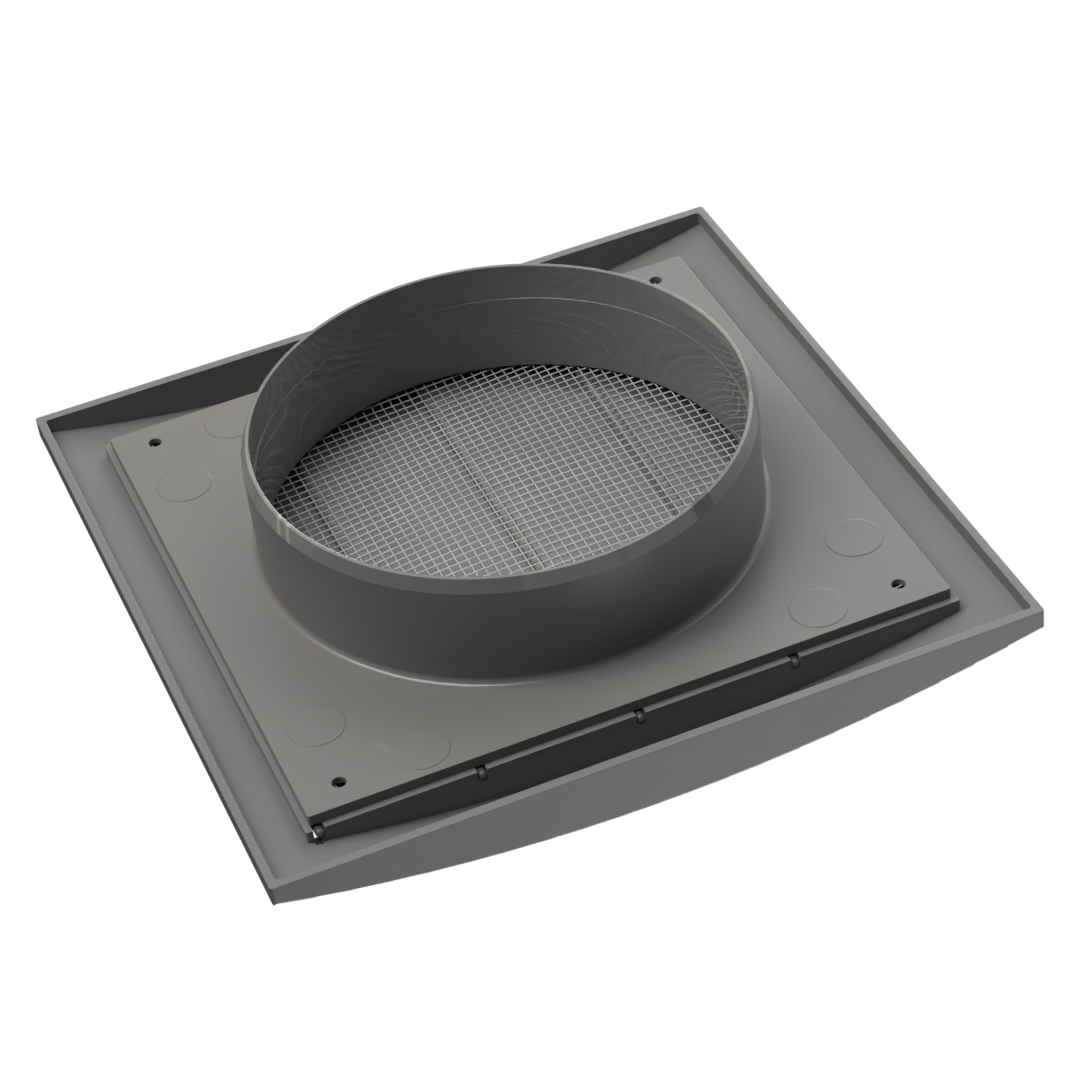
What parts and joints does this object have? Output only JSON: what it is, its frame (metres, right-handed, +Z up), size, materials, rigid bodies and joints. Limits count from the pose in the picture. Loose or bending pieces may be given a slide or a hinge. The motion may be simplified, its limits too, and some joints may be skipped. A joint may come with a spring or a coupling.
{
  "type": "louvred vent grille",
  "caption": "Square wall vent grille with a bowed plastic cover, hinged gravity flaps, an insect screen and a round spigot for a duct.",
  "frame": {"origin": "on the spigot's axis, on the rear face of the back plate, at the centre of the four screw holes", "axes": "+Y along the spigot into the wall, so the louvred front faces -Y; +Z up on the wall; +X across the grille, parallel to the flaps' hinges"},
  "size_m": [0.189, 0.0465, 0.189],
  "materials": {
    "cover_plastic": "satin moulded ABS, mid grey",
    "plate_plastic": "satin moulded ABS, mid grey",
    "screen_net": "pale grey extruded net",
    "flap_plastic": "satin moulded ABS, mid grey"
  },
  "bodies": {
    "frame": {"front_cover": "cover_plastic", "back_plate": "plate_plastic", "insect_screen": "screen_net"},
    "flap_one": {"flap_1": "flap_plastic"},
    "flap_two": {"flap_2": "flap_plastic"},
    "flap_three": {"flap_3": "flap_plastic"},
    "flap_four": {"flap_4": "flap_plastic"}
  },
  "joints": [
    {"name": "flap_1_swing", "type": "hinge", "parent": "frame", "child": "flap_one", "pos_m": [0, -0.0045, 0.0779], "axis": [-1, 0, 0], "range_deg": [0, 70]},
    {"name": "flap_2_swing", "type": "hinge", "parent": "frame", "child": "flap_two", "pos_m": [0, -0.0045, 0.03905], "axis": [-1, 0, 0], "range_deg": [0, 70]},
    {"name": "flap_3_swing", "type": "hinge", "parent": "frame", "child": "flap_three", "pos_m": [0, -0.0045, 0.0002], "axis": [-1, 0, 0], "range_deg": [0, 70]},
    {"name": "flap_4_swing", "type": "hinge", "parent": "frame", "child": "flap_four", "pos_m": [0, -0.0045, -0.03865], "axis": [-1, 0, 0], "range_deg": [0, 70]}
  ]
}
